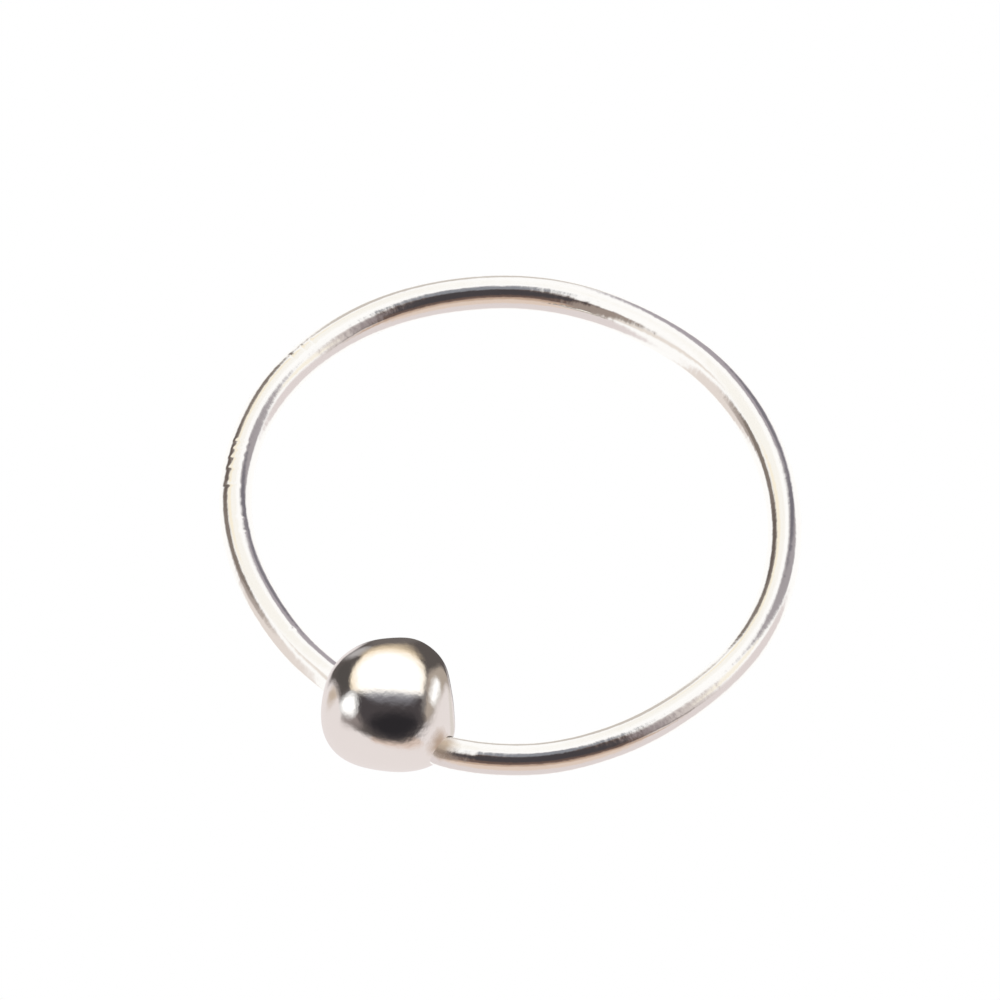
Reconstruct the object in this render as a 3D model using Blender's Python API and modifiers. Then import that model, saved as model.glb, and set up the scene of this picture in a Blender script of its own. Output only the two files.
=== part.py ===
# Silver nose ring: a thin wire hoop with a bead. The wire's right end is soldered into the bead,
# and its left end is free: it springs in and out of a blind hole in the bead.
# Metres, +Z up. The ring lies on its side and rests on its bead and on the far side of its wire,
# so the hoop leans up towards the bead. The bead is on the -Y side, and the origin is under the
# middle of the ring's box.

import math

import bmesh
import bpy
from mathutils import Matrix, Vector

MM = 0.001

# Wire
WIRE_DIAMETER = 0.60 * MM
HOOP_DIAMETER = 9.55 * MM           # mean size across the middle of the wire
WIRE_SIDES = 16                     # flats round the wire, each as far from its middle as the real surface
HOOP_POINTS = 108                   # points of the wire's path between the two bends at the bead
BEND_POINTS = 5                     # points of each bend

# Bead
BEAD_DIAMETER = 2.38 * MM           # round the belt
BEAD_LENGTH = 2.12 * MM             # between the two flat ends
BEAD_SHOULDER = 0.035               # how far the shoulders fall inside a ball, as a share of its radius
BEAD_INSET = 0.420 * MM             # the bead's middle, inwards of the hoop's mean circle
BEAD_TURN = math.radians(8.0)       # the hole's direction, off a square crossing of the hoop
BEAD_SIDES = 32
BEAD_ROWS = 17                      # an odd number, so one row of flats runs round the belt

# The free end in its hole, and the wire on both sides of the bead
BORE_CLEARANCE = 0.02 * MM          # all round the wire
BORE_OFFSET = 0.15 * MM             # the wire enters this far outwards of the bead's middle
BORE_SIDES = 32
BEND_START = 0.03 * MM              # straight wire between the bead's flat end and the bend
BEND_CORNER = 0.22 * MM             # from the flat end to the corner that the bend rounds off
END_GAP = 0.10 * MM                 # between the free end and the bottom of its hole

# Solder on the bead's right end, midway between the bead's middle line and the wire's
SOLDER_DIAMETER = 1.04 * MM         # where it meets the bead's flat end
SOLDER_TIP_DIAMETER = 0.70 * MM     # where it ends round the wire
SOLDER_LENGTH = 0.14 * MM           # how far it runs out from the flat end
SOLDER_ROWS = 5

# The hoop is a little out of round, as the hand-bent wire is. Bearings go round from the far side,
# positive towards +X, and the radius is a share of the hoop's mean radius.
HOOP_SHAPE = (
    # bearing, radius share
    (-158, 0.957),
    (-145, 0.969),
    (-130, 0.992),
    (-110, 1.015),
    (-90, 1.022),
    (-65, 1.010),
    (-40, 0.995),
    (-20, 0.995),
    (0, 0.991),
    (20, 0.998),
    (40, 0.998),
    (65, 1.000),
    (90, 1.003),
    (110, 0.992),
    (130, 1.003),
    (145, 1.016),
    (158, 1.019),
)

WIRE_RADIUS = WIRE_DIAMETER / 2
HOOP_RADIUS = HOOP_DIAMETER / 2
BEAD_RADIUS = BEAD_DIAMETER / 2
WIRE_EDGE_RADIUS = WIRE_RADIUS / math.cos(math.pi / WIRE_SIDES)
BORE_RADIUS = WIRE_EDGE_RADIUS + BORE_CLEARANCE

SILVER = (0.86, 0.85, 0.83, 1.0)
WELD = 1e-7


def clear_scene():
    for obj in list(bpy.data.objects):
        bpy.data.objects.remove(obj, do_unlink=True)


def make_collection(name):
    collection = bpy.data.collections.new(name)
    bpy.context.scene.collection.children.link(collection)
    return collection


def polished_silver():
    """Sterling silver, polished bright."""
    material = bpy.data.materials.new("polished_silver")
    material.use_nodes = True
    shader = material.node_tree.nodes["Principled BSDF"]
    shader.inputs["Base Color"].default_value = SILVER
    shader.inputs["Metallic"].default_value = 1.0
    shader.inputs["Roughness"].default_value = 0.1
    material.diffuse_color = SILVER
    return material


def hoop_share(bearing):
    """The hoop's radius at a bearing in degrees, by a smooth cubic through the table's rows."""
    rows = HOOP_SHAPE
    last = len(rows) - 1
    i = max(k for k in range(last) if rows[k][0] <= bearing or k == 0)

    def slope(k):
        before, after = rows[max(k - 1, 0)], rows[min(k + 1, last)]
        return (after[1] - before[1]) / (after[0] - before[0])

    (a0, r0), (a1, r1) = rows[i], rows[i + 1]
    span = a1 - a0
    t = (bearing - a0) / span
    return (
        (1 + 2 * t) * (1 - t) ** 2 * r0
        + t * (1 - t) ** 2 * span * slope(i)
        + t * t * (3 - 2 * t) * r1
        + t * t * (t - 1) * span * slope(i + 1)
    )


# Where things lie. The far side of the wire and the bead both touch z = 0.

def bead_centre():
    """The bead lies on one of the flats round its belt."""
    return Vector((0.0, BEAD_INSET - HOOP_RADIUS, BEAD_RADIUS))


def bore_axis():
    """Along the bead's hole, towards +X."""
    return Vector((math.cos(BEAD_TURN), -math.sin(BEAD_TURN), 0.0))


def bore_middle():
    outwards = Vector((-math.sin(BEAD_TURN), -math.cos(BEAD_TURN), 0.0))
    return bead_centre() + BORE_OFFSET * outwards


def hoop_point(bearing):
    """A point of the wire's middle line, on the plane that leans from the far side to the bead."""
    radius = HOOP_RADIUS * hoop_share(bearing)
    across = radius * math.sin(math.radians(bearing))
    along = radius * math.cos(math.radians(bearing))
    far = HOOP_RADIUS * hoop_share(0)
    near = bore_middle()
    lean = math.asin((near.z - WIRE_RADIUS) / (far - near.y))
    return Vector((across, far - (far - along) * math.cos(lean), WIRE_RADIUS + (far - along) * math.sin(lean)))


def beside_bead(side, distance):
    """A point of the hole's line, outside a flat end. side is -1 on the left, +1 on the right."""
    return bore_middle() + side * (BEAD_LENGTH / 2 + distance) * bore_axis()


def bend(side, hoop_end):
    """The bend beside the bead: a short parabola from the hole's line to the hoop's end."""
    start = beside_bead(side, BEND_START)
    corner = beside_bead(side, BEND_CORNER)
    shares = [i / BEND_POINTS for i in range(BEND_POINTS)]
    return [(1 - t) ** 2 * start + 2 * t * (1 - t) * corner + t * t * hoop_end for t in shares]


def wire_path():
    first, last = HOOP_SHAPE[0][0], HOOP_SHAPE[-1][0]
    step = (last - first) / (HOOP_POINTS - 1)
    hoop = [hoop_point(first + step * i) for i in range(HOOP_POINTS)]
    left = [bore_middle() - END_GAP * bore_axis()] + bend(-1, hoop[0])
    right = [bore_middle() + END_GAP * bore_axis()] + bend(1, hoop[-1])
    return left + hoop + right[::-1]


def make_wire(collection, material):
    curve = bpy.data.curves.new("wire", "CURVE")
    curve.dimensions = "3D"
    curve.bevel_depth = WIRE_EDGE_RADIUS
    curve.bevel_resolution = WIRE_SIDES // 2 - 2
    curve.use_fill_caps = True
    spline = curve.splines.new("POLY")
    points = wire_path()
    spline.points.add(len(points) - 1)
    for target, point in zip(spline.points, points):
        target.co = (*point, 1.0)
    guide = bpy.data.objects.new("wire_path", curve)
    collection.objects.link(guide)
    bpy.context.view_layer.update()
    mesh = bpy.data.meshes.new_from_object(guide.evaluated_get(bpy.context.evaluated_depsgraph_get()))
    welded = bmesh.new()
    welded.from_mesh(mesh)
    bmesh.ops.remove_doubles(welded, verts=welded.verts, dist=WELD)
    welded.to_mesh(mesh)
    welded.free()
    mesh.shade_smooth()
    mesh.materials.append(material)
    wire = bpy.data.objects.new("wire", mesh)
    wire.matrix_world = guide.matrix_world
    collection.objects.link(wire)
    bpy.data.objects.remove(guide, do_unlink=True)
    bpy.data.curves.remove(curve)
    return wire


def turned(name, profile, steps, matrix, collection, material):
    """A solid turned from pairs of radius and height, listed from the top of the axis to its bottom."""
    mesh = bpy.data.meshes.new(name)
    points = [(radius, 0.0, height) for radius, height in profile]
    mesh.from_pydata(points, [(i, i + 1) for i in range(len(points) - 1)], [])
    mesh.materials.append(material)
    obj = bpy.data.objects.new(name, mesh)
    obj.matrix_world = matrix
    collection.objects.link(obj)
    turn = obj.modifiers.new("turned", "SCREW")
    turn.axis = "Z"
    turn.steps = turn.render_steps = steps
    turn.use_merge_vertices = True
    turn.merge_threshold = WELD
    turn.use_smooth_shade = True
    return obj


def along_bore(origin):
    """Stands a turned shape's axis along the hole's line, with one of the bead's flats facing down."""
    axis = bore_axis()
    first_edge = Matrix.Rotation(math.pi / BEAD_SIDES, 3, axis) @ Vector((0.0, 0.0, -1.0))
    frame = Matrix((first_edge, axis.cross(first_edge), axis)).transposed()
    return Matrix.Translation(origin) @ frame.to_4x4()


def bead_reach(angle):
    """The bead's size at an angle from its belt: a ball that falls away at its shoulders."""
    return BEAD_RADIUS * (1 - BEAD_SHOULDER * math.sin(2 * angle) ** 2)


def bead_profile():
    """The flats round the belt lie at the bead's radius, and the ends are cut flat at its length."""
    end = math.pi / 2
    while bead_reach(end) * math.sin(end) > BEAD_LENGTH / 2:
        end -= math.radians(0.1)
    grown = 1 / math.cos(end / BEAD_ROWS) / math.cos(math.pi / BEAD_SIDES)
    flat_end = bead_reach(end) * math.sin(end)
    profile = [(0.0, flat_end)]
    for row in range(BEAD_ROWS + 1):
        angle = end * (1 - 2 * row / BEAD_ROWS)
        profile.append((grown * bead_reach(angle) * math.cos(angle), bead_reach(angle) * math.sin(angle)))
    profile.append((0.0, -flat_end))
    return profile


def solder_profile():
    """A low rounded collar, which fills the corner between the bead's flat end and the wire."""
    edge, tip = SOLDER_DIAMETER / 2, SOLDER_TIP_DIAMETER / 2
    profile = [(0.0, SOLDER_LENGTH)]
    for row in range(SOLDER_ROWS + 1):
        angle = math.pi / 2 * row / SOLDER_ROWS
        profile.append((tip + (edge - tip) * math.sin(angle), SOLDER_LENGTH * math.cos(angle)))
    profile += [(edge, -SOLDER_LENGTH), (0.0, -SOLDER_LENGTH)]
    return profile


def make_drill(collection):
    """Cuts the blind hole from the left up to the bead's middle."""
    depth = BEAD_LENGTH
    bpy.ops.mesh.primitive_cylinder_add(
        vertices=BORE_SIDES, radius=BORE_RADIUS / math.cos(math.pi / BORE_SIDES), depth=depth
    )
    drill = bpy.context.object
    drill.name = "drill"
    for owner in list(drill.users_collection):
        owner.objects.unlink(drill)
    collection.objects.link(drill)
    drill.matrix_world = along_bore(bore_middle() - depth / 2 * bore_axis())
    return drill


def combine(obj, name, operation, other):
    step = obj.modifiers.new(name, "BOOLEAN")
    step.operation = operation
    step.solver = "EXACT"
    step.object = other


def centre_on_origin(ring, parts):
    """Moves the ring and what it is made from, so that the origin is under the middle of its box."""
    bpy.context.view_layer.update()
    shape = ring.evaluated_get(bpy.context.evaluated_depsgraph_get())
    corners = [shape.matrix_world @ vertex.co for vertex in shape.data.vertices]
    middle = [(min(c[k] for c in corners) + max(c[k] for c in corners)) / 2 for k in range(2)]
    for obj in parts:
        obj.matrix_world = Matrix.Translation((-middle[0], -middle[1], 0.0)) @ obj.matrix_world


def main():
    clear_scene()
    finished = make_collection("nose_ring")
    cutters = make_collection("cutters")
    material = polished_silver()

    ring = turned("hoop_and_bead", bead_profile(), BEAD_SIDES, along_bore(bead_centre()), finished, material)
    drill = make_drill(cutters)
    solder_place = along_bore((bead_centre() + bore_middle() + BEAD_LENGTH * bore_axis()) / 2)
    solder = turned("solder", solder_profile(), BEAD_SIDES, solder_place, cutters, material)
    wire = make_wire(cutters, material)
    combine(ring, "hole", "DIFFERENCE", drill)
    combine(ring, "solder", "UNION", solder)
    combine(ring, "wire", "UNION", wire)

    for guide in (drill, solder, wire):
        guide.hide_render = True
        guide.display_type = "WIRE"
    centre_on_origin(ring, (ring, drill, solder, wire))


main()
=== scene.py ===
import math

import bmesh
import bpy
import numpy as np
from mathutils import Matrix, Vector


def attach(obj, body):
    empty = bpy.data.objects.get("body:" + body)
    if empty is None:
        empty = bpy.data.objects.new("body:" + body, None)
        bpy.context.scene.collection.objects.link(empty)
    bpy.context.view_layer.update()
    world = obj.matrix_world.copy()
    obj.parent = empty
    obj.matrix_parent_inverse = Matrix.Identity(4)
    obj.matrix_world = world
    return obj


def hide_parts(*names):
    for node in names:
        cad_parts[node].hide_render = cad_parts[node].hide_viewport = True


# A silver nose ring on white paper: a hand-bent wire hoop closed by a polished bead.
# The wire's right end is soldered into the bead, its left end is sprung into a hole.

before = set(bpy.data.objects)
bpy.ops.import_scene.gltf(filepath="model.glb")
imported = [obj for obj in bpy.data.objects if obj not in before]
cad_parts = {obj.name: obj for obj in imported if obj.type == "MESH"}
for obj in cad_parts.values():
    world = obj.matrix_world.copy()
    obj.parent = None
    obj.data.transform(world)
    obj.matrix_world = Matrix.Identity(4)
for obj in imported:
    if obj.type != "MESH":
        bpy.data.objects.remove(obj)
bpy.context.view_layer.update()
print("model loaded")

mm = 0.001


# Small helpers

def hexColour(code):
    # sRGB hex to the linear numbers that the shaders use
    channels = [int(code[i:i + 2], 16) / 255 for i in (0, 2, 4)]
    return tuple(c / 12.92 if c <= 0.04045 else ((c + 0.055) / 1.055) ** 2.4 for c in channels) + (1.0,)


def addNode(tree, kind, settings=None, links=None):
    # settings name attributes or input sockets, links give each input its (node, output)
    node = tree.nodes.new(kind)
    for key, value in (settings or {}).items():
        if isinstance(key, str) and key in node.bl_rna.properties:
            setattr(node, key, value)
        else:
            node.inputs[key].default_value = value
    for key, (source, output) in (links or {}).items():
        tree.links.new(source.outputs[output], node.inputs[key])
    return node


def newObject(name, mesh):
    obj = bpy.data.objects.new(name, mesh)
    bpy.context.scene.collection.objects.link(obj)
    return obj


# The wire's route

wireLook = {
    "diameter": 0.60 * mm,
    "hoopDiameter": 9.55 * mm,      # across the middle of the wire
    "sides": 44,                    # flats round the wire
    "pointSpacing": 0.018 * mm,
    "nearShare": 0.93,              # the drawn wire is a little thinner on the bead's side
    "farShare": 1.02,
    "boxShift": (0.0454 * mm, 0.2562 * mm),     # the hoop's middle, from the middle of the ring's box
    "insideBead": 0.96 * mm,        # how much wire goes on inside the bead
    "bendStart": 0.03 * mm,         # straight wire beside the bead, before the bend into the hoop
    "bendCorner": 0.22 * mm,        # from the bead to the corner that the bend rounds off
    "bendSteps": 8,
    "hoopPoints": 220,              # of the route, before the sweep spaces them evenly
    "waveHeight": 0.004 * mm,       # the hand-bent wire's slow bumps
    "waveLength": 1.1 * mm,
    "waveSeed": 3.0,
    "dentHeight": 0.0020 * mm,      # small handling dents
    "dentLength": 0.22 * mm,
    "dentSeed": 8.0,
    "nickDepth": 0.011 * mm,        # marks across the wire, each a row of small dents
    "nickReach": 0.036 * mm,
    "nickStep": 4,                  # degrees round the wire from one dent of a row to the next
}

hoopShape = (
    # bearing, share of the hoop's radius
    (-158, 0.957),
    (-145, 0.969),
    (-130, 0.992),
    (-110, 1.015),
    (-90, 1.022),
    (-65, 1.010),
    (-40, 0.995),
    (-20, 0.995),
    (0, 0.991),
    (20, 0.998),
    (40, 0.998),
    (65, 1.000),
    (90, 1.003),
    (110, 0.992),
    (130, 1.003),
    (145, 1.016),
    (158, 1.019),
)

nicks = (
    # bearing, then the way round the wire from straight up towards the outside, from and to, in degrees
    (-74.5, 8, 20),
    (-77, 10, 24),
    (-80, 10, 26),
    (-103.5, -6, 26),
    (-105.4, -6, 24),
    (-107.5, -4, 28),
    (-110, 2, 32),
    (-114, -6, 36),
    (-122, -16, -8),
    (-125.5, -16, -8),
    (-152.5, -22, -10),
)

beadLook = {
    "diameter": 2.394 * mm,
    "squareness": 0.034,            # the ball is a little squared, seen from the photo's side
    "squareTurn": 5.4,              # degrees that the square is turned by
    "length": 2.12 * mm,            # between the places where the wire leaves it
    "solderBulge": 0.085,           # the solder swells the ball where the wire's right end goes in
    "solderWidth": 0.37,            # in radians, seen from the ball's middle
    "holeFlat": 0.045,              # and it is flatter round the hole on the left
    "holeWidth": 0.55,
    "inset": 0.420 * mm,            # its middle, inwards of the hoop's mean circle
    "turn": 8.0,                    # the hole's direction, in degrees off a square crossing
    "centreHeight": 1.19 * mm,
    "holeOffset": 0.15 * mm,        # the hole's line, outwards of the bead's middle
    "holeClearance": 0.02 * mm,
    "holeDepth": 1.06 * mm,
    "holeMouth": 1.2 * mm,          # along the hole's line, from its middle to the ball's surface
    "drillOutside": 0.5 * mm,       # how far the drill that cuts the hole stands out of the bead
    "drillSides": 96,
    "sharpAngle": 40,               # degrees; edges sharper than this stay sharp, as the hole's rim does
    "rows": 180,
    "sides": 240,
}

beadDents = (
    # way round the bead's outline as the photo shows it, from its right upwards, in degrees; how far the
    # surface stands out there, as a share of the radius; width in radians
    (18, -0.050, 0.33),
    (68, 0.041, 0.30),
    (124, -0.060, 0.45),
    (244, -0.034, 0.75),
    (-22, 0.030, 0.20),
)


def hoopShare(bearing):
    rows = hoopShape
    last = len(rows) - 1
    i = max(k for k in range(last) if rows[k][0] <= bearing or k == 0)

    def slope(k):
        before, after = rows[max(k - 1, 0)], rows[min(k + 1, last)]
        return (after[1] - before[1]) / (after[0] - before[0])

    (a0, r0), (a1, r1) = rows[i], rows[i + 1]
    span = a1 - a0
    t = (bearing - a0) / span
    return ((1 + 2 * t) * (1 - t) ** 2 * r0 + t * (1 - t) ** 2 * span * slope(i)
            + t * t * (3 - 2 * t) * r1 + t * t * (t - 1) * span * slope(i + 1))


shiftX, shiftY = wireLook["boxShift"]
hoopRadius = wireLook["hoopDiameter"] / 2
wireRadius = wireLook["diameter"] / 2
turnAngle = math.radians(beadLook["turn"])
beadMiddle = Vector((shiftX, shiftY + beadLook["inset"] - hoopRadius, beadLook["centreHeight"]))
holeAxis = Vector((math.cos(turnAngle), -math.sin(turnAngle), 0.0))
holeMiddle = beadMiddle + beadLook["holeOffset"] * Vector((-math.sin(turnAngle), -math.cos(turnAngle), 0.0))


def hoopPoint(bearing):
    # on the plane that leans from the far side of the hoop up to the bead
    radius = hoopRadius * hoopShare(bearing)
    across = radius * math.sin(math.radians(bearing))
    along = radius * math.cos(math.radians(bearing))
    far = hoopRadius * hoopShare(0)
    lean = math.asin((holeMiddle.z - wireRadius) / (far + shiftY - holeMiddle.y))
    return Vector((across + shiftX, far + shiftY - (far - along) * math.cos(lean),
                   wireRadius + (far - along) * math.sin(lean)))


def besideBead(side, distance):
    return holeMiddle + side * (beadLook["length"] / 2 + distance) * holeAxis


def bend(side, hoopEnd):
    start = besideBead(side, wireLook["bendStart"])
    corner = besideBead(side, wireLook["bendCorner"])
    steps = wireLook["bendSteps"]
    shares = [i / steps for i in range(steps)]
    return [(1 - t) ** 2 * start + 2 * t * (1 - t) * corner + t * t * hoopEnd for t in shares]


def wireRoute():
    first, last = hoopShape[0][0], hoopShape[-1][0]
    count = wireLook["hoopPoints"]
    hoop = [hoopPoint(first + (last - first) * i / (count - 1)) for i in range(count)]
    left = [besideBead(-1, -wireLook["insideBead"])] + bend(-1, hoop[0])
    right = [besideBead(1, -wireLook["insideBead"])] + bend(1, hoop[-1])
    return left + hoop + right[::-1]


# Wire: the route goes through a Geometry Nodes sweep, which also dents it

def nickPoints(bearing, first, last):
    # the dents of one mark, side by side on the wire's surface
    centre = hoopPoint(bearing)
    outwards = Vector((math.sin(math.radians(bearing)), math.cos(math.radians(bearing)), 0.0))
    angles = [math.radians(a) for a in np.arange(first, last + 1, wireLook["nickStep"])]
    return [centre + wireRadius * (math.sin(a) * outwards + math.cos(a) * Vector((0, 0, 1)))
            for a in angles]


def wireTree(material, nickObject):
    tree = bpy.data.node_groups.new("wire sweep", "GeometryNodeTree")
    face = tree.interface
    face.new_socket("Geometry", in_out="INPUT", socket_type="NodeSocketGeometry")
    for name in ("Diameter", "Spacing", "Wave Height", "Wave Length", "Dent Height", "Dent Length",
                 "Nick Depth", "Nick Reach"):
        face.new_socket(name, in_out="INPUT", socket_type="NodeSocketFloat")
    face.new_socket("Sides", in_out="INPUT", socket_type="NodeSocketInt")
    face.new_socket("Geometry", in_out="OUTPUT", socket_type="NodeSocketGeometry")
    given = addNode(tree, "NodeGroupInput")
    half = addNode(tree, "ShaderNodeMath", {"operation": "MULTIPLY", 1: 0.5}, {0: (given, "Diameter")})
    route = addNode(tree, "GeometryNodeMeshToCurve", None, {"Mesh": (given, "Geometry")})
    evenRoute = addNode(tree, "GeometryNodeResampleCurve", {"mode": "LENGTH"},
                        {"Curve": (route, "Curve"), "Length": (given, "Spacing")})
    part = addNode(tree, "GeometryNodeSplineParameter")
    marked = addNode(tree, "GeometryNodeStoreNamedAttribute", {"Name": "along"},
                     {"Geometry": (evenRoute, "Curve"), "Value": (part, "Length")})
    section = addNode(tree, "GeometryNodeCurvePrimitiveCircle", None,
                      {"Resolution": (given, "Sides"), "Radius": (half, 0)})
    place = addNode(tree, "GeometryNodeInputPosition")
    markedSection = addNode(tree, "GeometryNodeStoreNamedAttribute",
                            {"data_type": "FLOAT_VECTOR", "Name": "aside"},
                            {"Geometry": (section, "Curve"), "Value": (place, "Position")})
    thickness = addNode(tree, "GeometryNodeInputNamedAttribute", {"Name": "thickness"})
    sweep = addNode(tree, "GeometryNodeCurveToMesh", {"Fill Caps": True},
                    {"Curve": (marked, "Geometry"), "Profile Curve": (markedSection, "Geometry"),
                     "Scale": (thickness, "Attribute")})
    normal = addNode(tree, "GeometryNodeInputNormal")
    total = None
    for size, height, seed in (("Wave Length", "Wave Height", wireLook["waveSeed"]),
                               ("Dent Length", "Dent Height", wireLook["dentSeed"])):
        pitch = addNode(tree, "ShaderNodeMath", {"operation": "DIVIDE", 0: 1.0}, {1: (given, size)})
        noise = addNode(tree, "ShaderNodeTexNoise", {"noise_dimensions": "4D", "W": seed, "Detail": 1.0},
                        {"Vector": (place, "Position"), "Scale": (pitch, 0)})
        centred = addNode(tree, "ShaderNodeMath", {"operation": "SUBTRACT", 1: 0.5}, {0: (noise, "Fac")})
        amount = addNode(tree, "ShaderNodeMath", {"operation": "MULTIPLY"},
                         {0: (centred, 0), 1: (given, height)})
        total = amount if total is None else addNode(tree, "ShaderNodeMath", {"operation": "ADD"},
                                                     {0: (total, 0), 1: (amount, 0)})
    nickInfo = addNode(tree, "GeometryNodeObjectInfo", {"Object": nickObject})
    near = addNode(tree, "GeometryNodeProximity", {"target_element": "POINTS"},
                   {"Target": (nickInfo, "Geometry")})
    inReach = addNode(tree, "ShaderNodeMath", {"operation": "DIVIDE"},
                      {0: (near, "Distance"), 1: (given, "Nick Reach")})
    squared = addNode(tree, "ShaderNodeMath", {"operation": "MULTIPLY"},
                      {0: (inReach, 0), 1: (inReach, 0)})
    fall = addNode(tree, "ShaderNodeMath", {"operation": "MULTIPLY", 1: -1.0}, {0: (squared, 0)})
    bowl = addNode(tree, "ShaderNodeMath", {"operation": "EXPONENT"}, {0: (fall, 0)})
    sunk = addNode(tree, "ShaderNodeMath", {"operation": "MULTIPLY"},
                   {0: (bowl, 0), 1: (given, "Nick Depth")})
    height = addNode(tree, "ShaderNodeMath", {"operation": "SUBTRACT"}, {0: (total, 0), 1: (sunk, 0)})
    offset = addNode(tree, "ShaderNodeVectorMath", {"operation": "SCALE"},
                     {0: (normal, "Normal"), "Scale": (height, 0)})
    moved = addNode(tree, "GeometryNodeSetPosition", None,
                    {"Geometry": (sweep, "Mesh"), "Offset": (offset, "Vector")})
    smooth = addNode(tree, "GeometryNodeSetShadeSmooth", None, {"Geometry": (moved, "Geometry")})
    real = addNode(tree, "GeometryNodeRealizeInstances", None, {"Geometry": (smooth, "Geometry")})
    made = addNode(tree, "GeometryNodeSetMaterial", {"Material": material}, {"Geometry": (real, "Geometry")})
    addNode(tree, "NodeGroupOutput", None, {"Geometry": (made, "Geometry")})
    return tree


def makeWire(material):
    route = wireRoute()
    mesh = bpy.data.meshes.new("silverWire")
    mesh.from_pydata(route, [(i, i + 1) for i in range(len(route) - 1)], [])
    near, far = wireLook["nearShare"], wireLook["farShare"]
    shares = [near + (far - near) * (0.5 + 0.5 * (p.y - shiftY) / hoopRadius) for p in route]
    mesh.attributes.new("thickness", "FLOAT", "POINT").data.foreach_set("value", shares)
    wire = newObject("silverWire", mesh)
    nickMesh = bpy.data.meshes.new("nickPlaces")
    nickMesh.from_pydata([point for row in nicks for point in nickPoints(*row)], [], [])
    nickObject = newObject("nickPlaces", nickMesh)
    tree = wireTree(material, nickObject)
    modifier = wire.modifiers.new("sweep", "NODES")
    modifier.node_group = tree
    values = {"Diameter": wireLook["diameter"], "Sides": wireLook["sides"],
              "Spacing": wireLook["pointSpacing"],
              "Wave Height": wireLook["waveHeight"], "Wave Length": wireLook["waveLength"],
              "Dent Height": wireLook["dentHeight"], "Dent Length": wireLook["dentLength"],
              "Nick Depth": wireLook["nickDepth"], "Nick Reach": wireLook["nickReach"]}
    for item in tree.interface.items_tree:
        if item.in_out == "INPUT" and item.name in values:
            modifier[item.identifier] = values[item.name]
    depsgraph = bpy.context.evaluated_depsgraph_get()
    plain = bpy.data.meshes.new_from_object(wire.evaluated_get(depsgraph))
    wire.modifiers.remove(modifier)
    wire.data = plain
    bpy.data.objects.remove(nickObject, do_unlink=True)
    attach(wire, "root")
    return wire


# Bead: a slightly squared ball, with a smooth neck of solder where the wire's right end goes in.
# Its outline is described as the photo shows it, so the camera's place comes first.

stageLook = {
    "azimuth": 29.1,                # the photo's side of the ring, in degrees from the -Y side
    "elevation": 62.6,
    "distance": 136.0 * mm,
    "lens": 281.2,
    "aim": (-0.024 * mm, 0.505 * mm),           # how far the view's middle lies right of and above the target
    "target": (0.0, 0.0, 0.8 * mm),
}
azimuth = math.radians(stageLook["azimuth"])
elevation = math.radians(stageLook["elevation"])
rightWay = Vector((math.cos(azimuth), math.sin(azimuth), 0.0))
frontWay = Vector((math.sin(azimuth), -math.cos(azimuth), 0.0))
back = math.cos(elevation) * frontWay + math.sin(elevation) * Vector((0, 0, 1))
cameraUp = math.cos(elevation) * Vector((0, 0, 1)) - math.sin(elevation) * frontWay


def beadReaches(ways):
    # how far the bead's surface is from its middle along each of many unit vectors
    across, upwards, towards = (ways @ np.array(axis) for axis in (rightWay, cameraUp, back))
    turn = np.arctan2(upwards, across) + math.radians(beadLook["squareTurn"])
    share = 1 - beadLook["squareness"] * np.cos(4 * turn) * (1 - towards ** 2) ** 2
    for angle, height, width in beadDents:
        middle = np.array(math.cos(math.radians(angle)) * rightWay + math.sin(math.radians(angle)) * cameraUp)
        away = np.arccos(np.clip(ways @ middle, -1, 1)) / width
        share = share + height * np.exp(-away ** 2)
    for side, height, width in ((1, "solderBulge", "solderWidth"), (-1, "holeFlat", "holeWidth")):
        middle = (holeMiddle - beadMiddle + side * beadLook["holeMouth"] * holeAxis).normalized()
        away = np.arccos(np.clip(ways @ np.array(middle), -1, 1)) / beadLook[width]
        share = share + side * beadLook[height] * np.exp(-away ** 2)
    return beadLook["diameter"] / 2 * share


def makeBead(material):
    side = np.array(holeAxis.cross(Vector((0, 0, 1))))
    up = np.array((0.0, 0.0, 1.0))
    axis = np.array(holeAxis)
    rows, sides = beadLook["rows"], beadLook["sides"]
    a = np.pi * np.arange(1, rows) / rows
    b = 2 * np.pi * np.arange(sides) / sides
    a, b = (grid.ravel() for grid in np.meshgrid(a, b, indexing="ij"))
    ways = (-np.cos(a)[:, None] * axis
            + np.sin(a)[:, None] * (np.cos(b)[:, None] * side + np.sin(b)[:, None] * up))
    ways = np.vstack([ways, -axis, axis])
    points = np.array(beadMiddle) + ways * beadReaches(ways)[:, None]
    shape = bmesh.new()
    verts = [shape.verts.new(p) for p in points]
    for i in range(rows - 2):
        for j in range(sides):
            k = (j + 1) % sides
            below, above = i * sides, (i + 1) * sides
            shape.faces.new([verts[m] for m in (below + j, below + k, above + k, above + j)])
    for j in range(sides):
        k = (j + 1) % sides
        shape.faces.new((verts[-2], verts[k], verts[j]))
        shape.faces.new((verts[-1], verts[(rows - 2) * sides + j], verts[(rows - 2) * sides + k]))
    bmesh.ops.recalc_face_normals(shape, faces=shape.faces)
    mesh = bpy.data.meshes.new("silverBead")
    shape.to_mesh(mesh)
    shape.free()
    mesh.materials.append(material)
    bead = newObject("silverBead", mesh)
    drill = makeDrill()
    hole = bead.modifiers.new("hole", "BOOLEAN")
    hole.operation = "DIFFERENCE"
    hole.solver = "EXACT"
    hole.object = drill
    depsgraph = bpy.context.evaluated_depsgraph_get()
    bead.data = bpy.data.meshes.new_from_object(bead.evaluated_get(depsgraph))
    bead.modifiers.remove(hole)
    bpy.data.objects.remove(drill, do_unlink=True)
    bead.data.shade_smooth()
    bead.data.set_sharp_from_angle(angle=math.radians(beadLook["sharpAngle"]))
    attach(bead, "root")
    return bead


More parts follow.
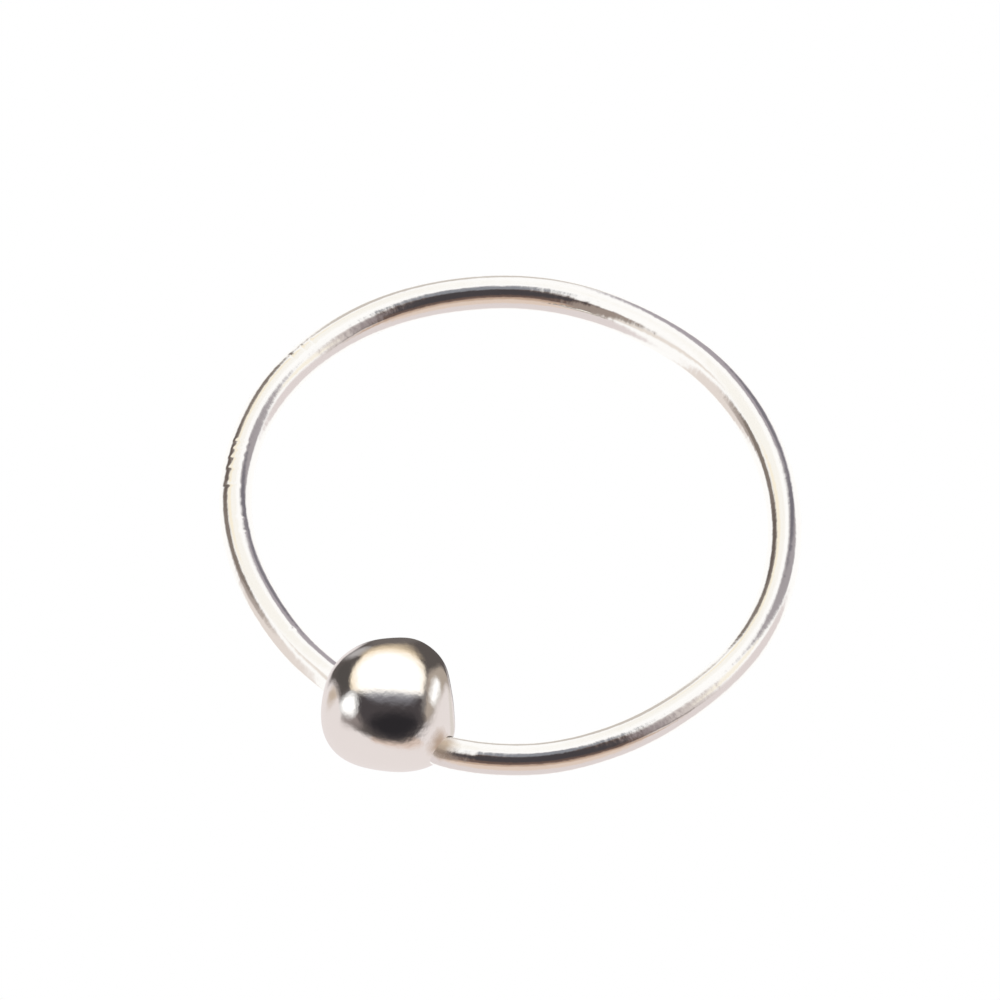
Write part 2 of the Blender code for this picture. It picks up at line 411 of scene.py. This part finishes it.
def makeDrill():
    # the blind hole that the wire's left end is sprung into
    radius = wireRadius + beadLook["holeClearance"]
    outside, sides = beadLook["drillOutside"], beadLook["drillSides"]
    length = beadLook["holeDepth"] + outside
    shape = bmesh.new()
    bmesh.ops.create_cone(shape, cap_ends=True, segments=sides, radius1=radius, radius2=radius, depth=length)
    middle = besideBead(-1, outside - length / 2)
    turn = holeAxis.to_track_quat("Z", "Y").to_matrix()
    for v in shape.verts:
        v.co = turn @ v.co + middle
    mesh = bpy.data.meshes.new("holeDrill")
    shape.to_mesh(mesh)
    shape.free()
    return newObject("holeDrill", mesh)


# Sterling silver, drawn to wire and polished bright: nearly a mirror, so its look is its surroundings.
# Handling marks make the reflections' edges waver, the drawing die leaves fine lines along the wire, and
# the soldered joint is duller than the polish. A brown-yellow tint round it is painted shade with a painted
# yellow glint.

silverLook = {
    "colour": "f8f6f3",
    "roughness": (0.07, 0.15),      # where it is brightest and where it is haziest
    "markSize": 0.15 * mm,          # real marks are about 0.03 mm, too fine to be seen
    "markDepth": 0.0040 * mm,
    "hazeSize": 0.9 * mm,
    "lineWidth": 0.055 * mm,
    "lineLength": 1.6 * mm,
    "lineDepth": 0.0012 * mm,
    # painted shade and a painted yellow glint round the soldered joint, as a brown-yellow tint
    "paintedJointShade": "c9b196",
    "jointShadeMiddle": (0.24 * mm, 0.32 * mm),      # from the bead's end out along the wire, and up
    "jointShadeReach": 0.25 * mm,
    "jointShadeFade": (0.8, 1.8),        # where it begins and ends to fade, in reaches
    "jointShadeShare": 0.8,              # how much of its colour shows at its middle
    "jointShadePatch": 0.2 * mm,         # size of the patches in its edge
    "jointRoughness": 0.50,
}


def silverMaterial():
    look = silverLook
    material = bpy.data.materials.new("polishedSterlingSilver")
    material.use_nodes = True
    tree = material.node_tree
    shader = tree.nodes["Principled BSDF"]
    shader.inputs["Metallic"].default_value = 1.0
    place = addNode(tree, "ShaderNodeTexCoord")

    # painted shade and a painted yellow glint round the joint, as a brown-yellow tint with a patchy edge
    outwards, upwards = look["jointShadeMiddle"]
    joint = besideBead(1, outwards) + upwards * Vector((0, 0, 1))
    away = addNode(tree, "ShaderNodeVectorMath", {"operation": "DISTANCE", 1: joint}, {0: (place, "Object")})
    patchy = addNode(tree, "ShaderNodeTexNoise", {"Scale": 1 / look["jointShadePatch"], "Detail": 3.0},
                     {"Vector": (place, "Object")})
    spread = addNode(tree, "ShaderNodeMath", {"operation": "MULTIPLY", 1: look["jointShadeReach"]},
                     {0: (patchy, "Fac")})
    edge = addNode(tree, "ShaderNodeMath", {"operation": "ADD"}, {0: (away, "Value"), 1: (spread, 0)})
    fadeStart, fadeEnd = look["jointShadeFade"]
    # how much of the painted shade shows at each point
    jointShadeAmount = addNode(tree, "ShaderNodeMapRange",
                      {"From Min": fadeStart * look["jointShadeReach"], "From Max": fadeEnd * look["jointShadeReach"],
                       "To Min": look["jointShadeShare"], "To Max": 0.0}, {"Value": (edge, 0)})
    colour = addNode(tree, "ShaderNodeMix", {"data_type": "RGBA", 6: hexColour(look["colour"]),
                                             7: hexColour(look["paintedJointShade"])}, {0: (jointShadeAmount, 0)})
    tree.links.new(colour.outputs[2], shader.inputs["Base Color"])

    # the polish varies, and the solder round the joint is duller; most of a noise lies between 0.3 and 0.7
    haze = addNode(tree, "ShaderNodeTexNoise", {"Scale": 1 / look["hazeSize"], "Detail": 3.0},
                   {"Vector": (place, "Object")})
    brightest, haziest = look["roughness"]
    rough = addNode(tree, "ShaderNodeMapRange",
                    {"From Min": 0.3, "From Max": 0.7, "To Min": brightest, "To Max": haziest},
                    {"Value": (haze, "Fac")})
    dull = addNode(tree, "ShaderNodeMix", {3: look["jointRoughness"]}, {0: (jointShadeAmount, 0), 2: (rough, 0)})
    tree.links.new(dull.outputs[0], shader.inputs["Roughness"])

    # lines along the wire, then handling marks all over
    aside = addNode(tree, "ShaderNodeAttribute", {"attribute_name": "aside"})
    along = addNode(tree, "ShaderNodeAttribute", {"attribute_name": "along"})
    squeeze = look["lineWidth"] / look["lineLength"]
    alongWire = addNode(tree, "ShaderNodeMath", {"operation": "MULTIPLY", 1: squeeze}, {0: (along, "Fac")})
    lengthwise = addNode(tree, "ShaderNodeCombineXYZ", None, {"Z": (alongWire, 0)})
    onWire = addNode(tree, "ShaderNodeVectorMath", {"operation": "ADD"},
                     {0: (aside, "Vector"), 1: (lengthwise, 0)})
    lines = addNode(tree, "ShaderNodeTexNoise", {"Scale": 1 / look["lineWidth"], "Detail": 2.0},
                    {"Vector": (onWire, 0)})
    drawn = addNode(tree, "ShaderNodeBump", {"Distance": look["lineDepth"]}, {"Height": (lines, "Fac")})
    marks = addNode(tree, "ShaderNodeTexNoise",
                    {"Scale": 1 / look["markSize"], "Detail": 3.0, "Roughness": 0.45},
                    {"Vector": (place, "Object")})
    dents = addNode(tree, "ShaderNodeBump", {"Distance": look["markDepth"]},
                    {"Height": (marks, "Fac"), "Normal": (drawn, 0)})
    tree.links.new(dents.outputs[0], shader.inputs["Normal"])
    return material


silver = silverMaterial()
wire = makeWire(silver)
print("wire made")
bead = makeBead(silver)
print("bead made")
# the photo's bead shows no mirrored hoop, so the wire stays out of reflections
wire.visible_glossy = False
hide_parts("hoop_and_bead")
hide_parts("hoop_and_bead")

# Stage: a light tent that the silver reflects, and white paper that the camera sees.
# The tent is drawn as a map seen from the ring: degrees from straight up, to the right and to the front.

tentLook = {
    "radius": 300 * mm,
    "gap": 20 * mm,                 # between the wire's tent and the bead's tent outside it
    "rings": 120,
    "spokes": 240,
    "paper": "ffffff",
    "paperBrightness": 1.06,
    "beadPaper": "ebe3e2",
    "sheetHalf": 250 * mm,          # half the width of the sheet under the ring
    "world": "f7f7f7",
}

wirePanels = (
    # name, corners on that map, colour, brightness, width of the soft edge in degrees
    ("frontPaper", ((-60, 66), (-110, 90), (-110, 125), (-60, 165), (60, 165), (110, 120), (125, 70),
                    (128, 0), (120, -20), (94, -22), (80, -12), (70, 10), (76, 42), (62, 64)),
     "e3dada", 1.0, 16),
    ("leftPaper", ((-150, -30), (-112, -12), (-72, -2), (-66, 12), (-76, 40), (-112, 56), (-150, 44)),
     "e8dfda", 1.0, 16),
    ("leftTan", ((-96, -24), (-66, -24), (-62, -6), (-66, 8), (-104, 12)), "aea39d", 1.0, 14),
    ("frontLeft", ((-50, 2), (-40, 0), (-34, 20), (-32, 60), (-46, 60), (-50, 30)), "ebe3dc", 1.0, 10),
    ("frontPeach", ((-40, 66), (60, 60), (72, 82), (44, 106), (-30, 110)), "e3d0c3", 1.0, 16),
    ("frontTan", ((-34, 58), (60, 52), (76, 44), (74, 58), (40, 74), (-20, 78), (-44, 74)),
     "c4aa98", 1.0, 12),
    ("roomFade", ((28, -6), (50, 8), (66, 24), (84, 38), (70, 50), (50, 44), (36, 20)), "d3cac7", 1.0, 10),
    ("room", ((3, -10), (8, -17), (15, -10), (26, 4), (40, 18), (50, 30), (60, 42), (58, 50), (46, 58),
              (10, 63), (-20, 63), (-36, 60), (-34, 40), (-29, 22), (-18, 20), (-7, 14), (0, 2)),
     "685650", 1.0, 10),
    ("roomLeft", ((-30, 18), (-17, 14), (-14, 40), (-24, 76), (-44, 76), (-34, 44)), "9d9088", 1.0, 10),
    ("roomMiddle", ((6, 4), (18, 2), (30, 18), (40, 34), (40, 44), (10, 46), (-14, 44), (-15, 22),
                    (0, 14)),
     "474346", 1.0, 10),
    ("roomRight", ((30, 2), (44, 18), (56, 34), (66, 44), (58, 46), (46, 38), (32, 20)), "9f9597", 1.0, 12),
    ("roomLine", ((48, 38), (58, 40), (74, 36), (74, 41), (60, 46), (48, 44)), "8f8583", 1.0, 5),
    ("roomTip", ((3, -18), (14, -14), (22, -4), (10, 8), (-2, 4)), "8c8f97", 1.0, 8),
    ("rearLeft", ((-58, -6), (-57, -34), (-48, -38), (-34, -44), (-30, -60), (-34, -76), (-46, -92),
                  (-56, -84), (-58, -60), (-84, -52), (-90, -36), (-84, -10), (-76, 0)), "857b74", 1.0, 9),
    ("rearLeftDark", ((-70, -64), (-50, -68), (-44, -46), (-62, -40), (-76, -38)), "6c625d", 1.0, 10),
    ("rearRight", ((30, -44), (64, -50), (70, -62), (64, -92), (30, -104), (18, -98), (20, -62)),
     "aca5ac", 1.0, 10),
    ("rearRightEdge", ((42, -50), (62, -46), (66, -60), (58, -88), (42, -84)), "7d7a82", 1.0, 9),
    ("rearRightLow", ((26, -40), (28, -26), (36, -12), (56, -10), (76, -14), (84, -26), (80, -36), (66, -48),
                      (50, -56), (42, -50), (34, -40)), "a8a2a6", 1.0, 12),
    ("rearRightDark", ((34, -42), (46, -48), (60, -58), (64, -48), (54, -34), (38, -30)), "77747c", 1.0, 10),
    ("rearMiddle", ((-34, -72), (-18, -80), (-12, -90), (24, -100), (24, -116), (-34, -122)),
     "cec7c0", 1.0, 10),
    ("softboxCream", ((-56, -34), (-56, -6), (-30, -4), (4, -30), (4, -44), (-4, -76), (-20, -72),
                      (-28, -56)),
     "fffdf8", 1.0, 14),
    ("softboxYellow", ((-53, -35), (-47, -22), (-36, -24), (-28, -40), (-16, -56), (-10, -66), (-28, -66),
                       (-34, -50), (-46, -42)), "fff6e2", 1.0, 10),
    ("frontCream", ((40, -8), (58, -10), (66, 20), (60, 26), (50, 10)), "fff9ec", 1.0, 10),
)

beadPanels = (
    ("leftWarm", ((-112, -60), (-98, -46), (-90, -28), (-92, -14), (-114, -30)), "c4b3a3", 1.0, 20),
    ("sidePaper", ((100, -128), (136, -108), (140, -56), (112, -56), (104, -92)), "ddd6d0", 1.0, 14),
    ("roomFringe", ((-40, 86), (-14, 98), (12, 103), (34, 99), (50, 86), (64, 68), (40, 70), (-20, 70)),
     "dcc7bb", 1.0, 10),
    ("room", ((-98, -66), (-100, -84), (-84, -104), (-60, -112), (-34, -120), (-16, -152), (30, -156),
              (54, -142), (70, -126), (90, -112), (102, -88), (101, -60), (96, -30), (90, 6), (82, 26),
              (70, 46), (56, 64), (44, 78), (30, 90), (10, 93), (-14, 89), (-36, 80), (-56, 64), (-68, 48),
              (-84, 30), (-90, 10), (-88, -10), (-90, -30)), "5b5553", 1.0, 13),
    ("roomLeft", ((-92, 16), (-60, 22), (-46, 38), (-50, 62), (-84, 38)), "918785", 1.0, 24),
    ("roomFront", ((-52, 2), (60, 0), (66, 20), (62, 46), (46, 68), (20, 84), (-8, 80), (-34, 66), (-50, 44),
                   (-54, 20)), "4a4547", 1.0, 20),
    ("roomMiddle", ((-36, 42), (58, 34), (58, 56), (44, 72), (20, 84), (-8, 82), (-28, 66)),
     "2c2a2d", 1.0, 24),
    ("roomTop", ((-34, -4), (48, -4), (46, 16), (26, 22), (8, 20), (-10, 20), (-30, 14)), "85848a", 1.0, 20),
    ("rearRim", ((-26, -104), (-14, -150), (22, -150), (26, -104)), "6e6865", 1.0, 16),
    ("rearPatch", ((-62, -104), (-42, -112), (-24, -112), (-22, -94), (-38, -82), (-54, -84)),
     "b4b0b0", 1.0, 18),
    ("rightSide", ((60, -46), (72, -62), (84, -104), (104, -100), (104, -50), (100, -20), (90, 10), (78, 34),
                   (68, 28), (66, -2)), "b0a499", 1.0, 14),
    ("rightEdge", ((60, -8), (68, -8), (70, 26), (62, 28)), "7d7876", 1.0, 10),
    ("leftRoom", ((-90, -50), (-84, -74), (-66, -80), (-52, -66), (-60, -30), (-68, -12), (-82, -18)),
     "534f4d", 1.0, 14),
    ("rightLamp", ((76, -42), (88, -46), (96, -24), (91, 2), (79, 6), (73, -10)), "ffffff", 1.15, 15),
    ("softboxTop", ((-40, -74), (-22, -97), (0, -106), (18, -98), (32, -84), (44, -66), (0, -60)),
     "dcc9ae", 1.0, 20),
    ("softboxEdge", ((-60, 2), (-62, -30), (-51, -52), (-39, -69), (-21, -85), (0, -93), (20, -87), (35, -73),
                     (51, -56), (59, -30), (61, -10), (59, 2)), "ffefd6", 1.0, 10),
    ("softbox", ((-48, 4), (-51, -30), (-42, -49), (-30, -63), (-14, -75), (0, -80), (16, -77), (31, -66),
                 (45, -52), (54, -30), (57, -10), (56, 4)), "ffffff", 1.2, 22),
    ("leftLamp", ((-90, 2), (-84, -4), (-62, -6), (-54, 2), (-53, 18), (-60, 32), (-72, 30), (-86, 16)),
     "ffffff", 1.2, 17),
)


def roundCorners(corners):
    # cuts each corner twice
    for _ in range(2):
        pairs = list(zip(corners, corners[1:] + corners[:1]))
        corners = [tuple(a[k] * (1 - t) + b[k] * t for k in (0, 1)) for a, b in pairs for t in (0.25, 0.75)]
    return corners


def smoothStep(x):
    x = np.clip(x, 0, 1)
    return x * x * (3 - 2 * x)


def insideBy(points, corners):
    # how far each point lies inside a polygon, negative outside
    corners = np.array(corners, dtype=float)
    nearest = np.full(len(points), 1e9)
    inside = np.zeros(len(points), dtype=bool)
    for start, end in zip(corners, np.roll(corners, -1, axis=0)):
        edge = end - start
        t = np.clip((points - start) @ edge / (edge @ edge), 0, 1)
        nearest = np.minimum(nearest, np.linalg.norm(points - start - t[:, None] * edge, axis=1))
        crosses = (start[1] > points[:, 1]) != (end[1] > points[:, 1])
        rise = end[1] - start[1] if end[1] != start[1] else 1e-9
        inside ^= crosses & (points[:, 0] < start[0] + (points[:, 1] - start[1]) * edge[0] / rise)
    return np.where(inside, nearest, -nearest)


def makeTent(name, radius, paper, panels, piece):
    # only the given piece is lit by it, and the others' light comes through
    rings, spokes = tentLook["rings"], tentLook["spokes"]
    zenith = np.repeat(np.linspace(0.5, 179.5, rings), spokes)     # a small cap closes each pole
    around = np.tile(np.arange(spokes) * 360 / spokes, rings)
    z, b = np.radians(zenith), np.radians(around)
    ways = ((np.sin(z) * np.sin(b))[:, None] * np.array(rightWay)
            + (np.sin(z) * np.cos(b))[:, None] * np.array(frontWay))
    ways[:, 2] += np.cos(z)
    chart = np.stack([zenith * np.sin(b), zenith * np.cos(b)], axis=1)
    glow = np.tile(paper, (len(chart), 1))
    for _, corners, colour, brightness, softness in panels:
        share = smoothStep(0.5 + insideBy(chart, roundCorners(list(corners))) / softness)[:, None]
        glow = glow * (1 - share) + share * brightness * np.array(hexColour(colour)[:3])
    faces = [(low + j, low + (j + 1) % spokes, low + spokes + (j + 1) % spokes, low + spokes + j)
             for low in range(0, (rings - 1) * spokes, spokes) for j in range(spokes)]
    faces += [tuple(range(spokes)), tuple(range((rings - 1) * spokes, rings * spokes))]
    mesh = bpy.data.meshes.new(name)
    mesh.from_pydata((ways * radius).tolist(), [], faces)
    attribute = mesh.attributes.new("glow", "FLOAT_COLOR", "POINT")
    attribute.data.foreach_set("color", np.hstack([glow, np.ones((len(glow), 1))]).ravel())
    material = bpy.data.materials.new(name)
    material.use_nodes = True
    material.node_tree.nodes.clear()
    reader = addNode(material.node_tree, "ShaderNodeAttribute", {"attribute_name": "glow"})
    shine = addNode(material.node_tree, "ShaderNodeEmission", None, {"Color": (reader, "Color")})
    clear = addNode(material.node_tree, "ShaderNodeBsdfTransparent")
    both = addNode(material.node_tree, "ShaderNodeAddShader", None, {0: (shine, 0), 1: (clear, 0)})
    addNode(material.node_tree, "ShaderNodeOutputMaterial", None, {"Surface": (both, 0)})
    mesh.materials.append(material)
    tent = newObject(name, mesh)
    tent.visible_camera = False
    tent.visible_shadow = False
    lit = bpy.data.collections.new(name + "Receiver")
    lit.objects.link(piece)
    tent.light_linking.receiver_collection = lit


def makePaper():
    # one white sheet under the ring, bright enough that no shadow shows on it
    material = bpy.data.materials.new("whitePaper")
    material.use_nodes = True
    material.node_tree.nodes.clear()
    shine = addNode(material.node_tree, "ShaderNodeEmission", {"Color": hexColour("ffffff"), "Strength": 1.0})
    addNode(material.node_tree, "ShaderNodeOutputMaterial", None, {"Surface": (shine, 0)})
    half = tentLook["sheetHalf"]
    corners = [(-half, -half, 0), (half, -half, 0), (half, half, 0), (-half, half, 0)]
    mesh = bpy.data.meshes.new("whitePaper")
    mesh.from_pydata(corners, [], [(0, 1, 2, 3)])
    mesh.materials.append(material)
    paper = newObject("whitePaper", mesh)
    paper.visible_glossy = False
    paper.visible_diffuse = False
    paper.visible_shadow = False


paperGlow = tentLook["paperBrightness"] * np.array(hexColour(tentLook["paper"])[:3])
beadGlow = np.array(hexColour(tentLook["beadPaper"])[:3])
makeTent("wireTent", tentLook["radius"], paperGlow, wirePanels, wire)
makeTent("beadTent", tentLook["radius"] + tentLook["gap"], beadGlow, beadPanels, bead)
makePaper()
world = bpy.data.worlds.new("studio")
bpy.context.scene.world = world
world.use_nodes = True
world.node_tree.nodes["Background"].inputs["Color"].default_value = hexColour(tentLook["world"])
world.cycles_visibility.glossy = False
print("stage made")

# Camera

aimRight, aimUp = stageLook["aim"]
aimPoint = Vector(stageLook["target"]) + aimRight * rightWay + aimUp * cameraUp
cameraData = bpy.data.cameras.new("camera")
cameraData.lens = stageLook["lens"]
cameraData.sensor_width = 36
cameraData.clip_start = 0.001
camera = bpy.data.objects.new("camera", cameraData)
bpy.context.scene.collection.objects.link(camera)
camera.location = aimPoint + stageLook["distance"] * back
camera.rotation_euler = (-back).to_track_quat("-Z", "Y").to_euler()
bpy.context.scene.camera = camera
bpy.context.scene.view_settings.view_transform = "Standard"
